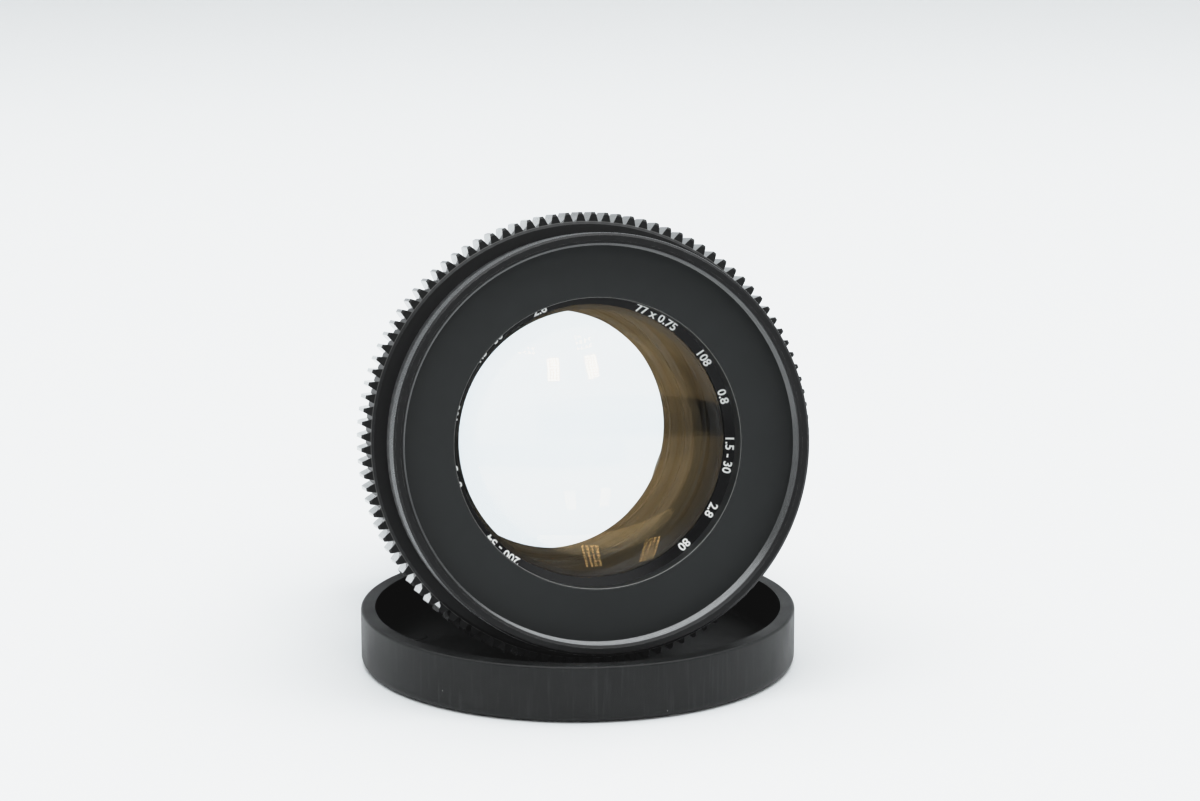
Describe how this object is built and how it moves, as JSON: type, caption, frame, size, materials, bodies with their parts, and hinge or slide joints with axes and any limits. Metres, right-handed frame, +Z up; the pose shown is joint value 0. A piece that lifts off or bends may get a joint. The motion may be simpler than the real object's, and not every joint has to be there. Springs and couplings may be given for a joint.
{
  "type": "cinema prime lens",
  "caption": "Telephoto cinema prime lens with a round clamp-on front, geared focus ring, blade iris and bayonet mount, leaning in its own upturned slip-on front cap.",
  "frame": {"origin": "centre of the cap's underside, on the surface that the cap stands on", "axes": "+Z up; the lens's axis lies in the YZ plane, its front faces -Y and is tilted up by about 10 degrees; +X is to the right as seen from the front"},
  "size_m": [0.088, 0.1196, 0.0903],
  "materials": {
    "black_anodised": "black hard-anodised, finely turned",
    "matte_black": "matte black antireflection paint",
    "coated_glass": "polished, amber multi-coated",
    "brass": "turned",
    "plain_steel": "plain",
    "chromed_mount": "satin chrome",
    "grip_rubber": "moulded, matte",
    "cap_plastic": "moulded, fine matte texture",
    "blade_steel": "blackened spring steel"
  },
  "bodies": {
    "cap": {"front_cap": "cap_plastic"},
    "barrel": {"main_barrel": "black_anodised", "rear_housing": "black_anodised", "mount_plate": "chromed_mount", "mount_screws": "plain_steel", "rear_baffle": "matte_black", "guide_keys": "brass", "focus_retainer": "brass"},
    "focus": {"focus_ring": "black_anodised", "helicoid_ring": "brass", "focus_grip": "grip_rubber", "focus_gear": "black_anodised", "gear_set_screws": "plain_steel"},
    "front_unit": {"front_ring": "black_anodised", "front_barrel": "black_anodised", "name_ring": "matte_black", "front_cell": "matte_black", "front_element": "coated_glass", "spacer_ring": "matte_black", "second_element": "coated_glass", "third_element": "coated_glass", "fourth_element": "coated_glass", "pair_ring": "matte_black", "iris_base": "matte_black", "fifth_element": "coated_glass", "rear_cell": "matte_black", "sixth_element": "coated_glass", "rear_ring": "matte_black"},
    "aperture": {"aperture_ring": "black_anodised"},
    "iris_ring": {"iris_drive_ring": "plain_steel"},
    "blade_1": {"iris_blade_1": "blade_steel"},
    "blade_2": {"iris_blade_2": "blade_steel"},
    "blade_3": {"iris_blade_3": "blade_steel"},
    "blade_4": {"iris_blade_4": "blade_steel"},
    "blade_5": {"iris_blade_5": "blade_steel"},
    "blade_6": {"iris_blade_6": "blade_steel"},
    "blade_7": {"iris_blade_7": "blade_steel"},
    "blade_8": {"iris_blade_8": "blade_steel"}
  },
  "joints": [
    {"name": "lens_lift", "type": "slide", "parent": "cap", "child": "barrel", "axis": [0, 0, 1], "range_m": [0, 0.08]},
    {"name": "focus_turn", "type": "hinge", "parent": "barrel", "child": "focus", "pos_m": [0, 0.0666, 0.03313], "axis": [0, -0.9844, 0.1758], "range_deg": [0, 200]},
    {"name": "focus_extend", "type": "slide", "parent": "barrel", "child": "front_unit", "axis": [0, -0.9844, 0.1758], "range_m": [0, 0.0151]},
    {"name": "aperture_turn", "type": "hinge", "parent": "barrel", "child": "aperture", "pos_m": [0, 0.0666, 0.03313], "axis": [0, -0.9844, 0.1758], "range_deg": [0, 54]},
    {"name": "iris_turn", "type": "hinge", "parent": "front_unit", "child": "iris_ring", "pos_m": [0, 0.02338, 0.04085], "axis": [0, -0.9844, 0.1758], "range_deg": [0, 2.98]},
    {"name": "blade_1_swing", "type": "hinge", "parent": "front_unit", "child": "blade_1", "pos_m": [0.0238, 0.02048, 0.04137], "axis": [0, -0.9844, 0.1758], "range_deg": [0, 30.1]},
    {"name": "blade_2_swing", "type": "hinge", "parent": "front_unit", "child": "blade_2", "pos_m": [0.01683, 0.02378, 0.05788], "axis": [0, -0.9844, 0.1758], "range_deg": [0, 30.1]},
    {"name": "blade_3_swing", "type": "hinge", "parent": "front_unit", "child": "blade_3", "pos_m": [0, 0.02535, 0.06468], "axis": [0, -0.9844, 0.1758], "range_deg": [0, 30.1]},
    {"name": "blade_4_swing", "type": "hinge", "parent": "front_unit", "child": "blade_4", "pos_m": [-0.01683, 0.02447, 0.05775], "axis": [0, -0.9844, 0.1758], "range_deg": [0, 30.1]},
    {"name": "blade_5_swing", "type": "hinge", "parent": "front_unit", "child": "blade_5", "pos_m": [-0.0238, 0.02185, 0.04112], "axis": [0, -0.9844, 0.1758], "range_deg": [0, 30.1]},
    {"name": "blade_6_swing", "type": "hinge", "parent": "front_unit", "child": "blade_6", "pos_m": [-0.01683, 0.01924, 0.02449], "axis": [0, -0.9844, 0.1758], "range_deg": [0, 30.1]},
    {"name": "blade_7_swing", "type": "hinge", "parent": "front_unit", "child": "blade_7", "pos_m": [0, 0.01836, 0.01757], "axis": [0, -0.9844, 0.1758], "range_deg": [0, 30.1]},
    {"name": "blade_8_swing", "type": "hinge", "parent": "front_unit", "child": "blade_8", "pos_m": [0.01683, 0.01993, 0.02437], "axis": [0, -0.9844, 0.1758], "range_deg": [0, 30.1]}
  ],
  "couplings": [
    {"joint": "focus_extend", "follows": "focus_turn", "m_per_rad": 0.0042972},
    {"joint": "iris_turn", "follows": "aperture_turn", "ratio": 0.054261},
    {"joint": "blade_1_swing", "follows": "aperture_turn", "ratio": 0.55556},
    {"joint": "blade_2_swing", "follows": "aperture_turn", "ratio": 0.55556},
    {"joint": "blade_3_swing", "follows": "aperture_turn", "ratio": 0.55556},
    {"joint": "blade_4_swing", "follows": "aperture_turn", "ratio": 0.55556},
    {"joint": "blade_5_swing", "follows": "aperture_turn", "ratio": 0.55556},
    {"joint": "blade_6_swing", "follows": "aperture_turn", "ratio": 0.55556},
    {"joint": "blade_7_swing", "follows": "aperture_turn", "ratio": 0.55556},
    {"joint": "blade_8_swing", "follows": "aperture_turn", "ratio": 0.55556}
  ]
}
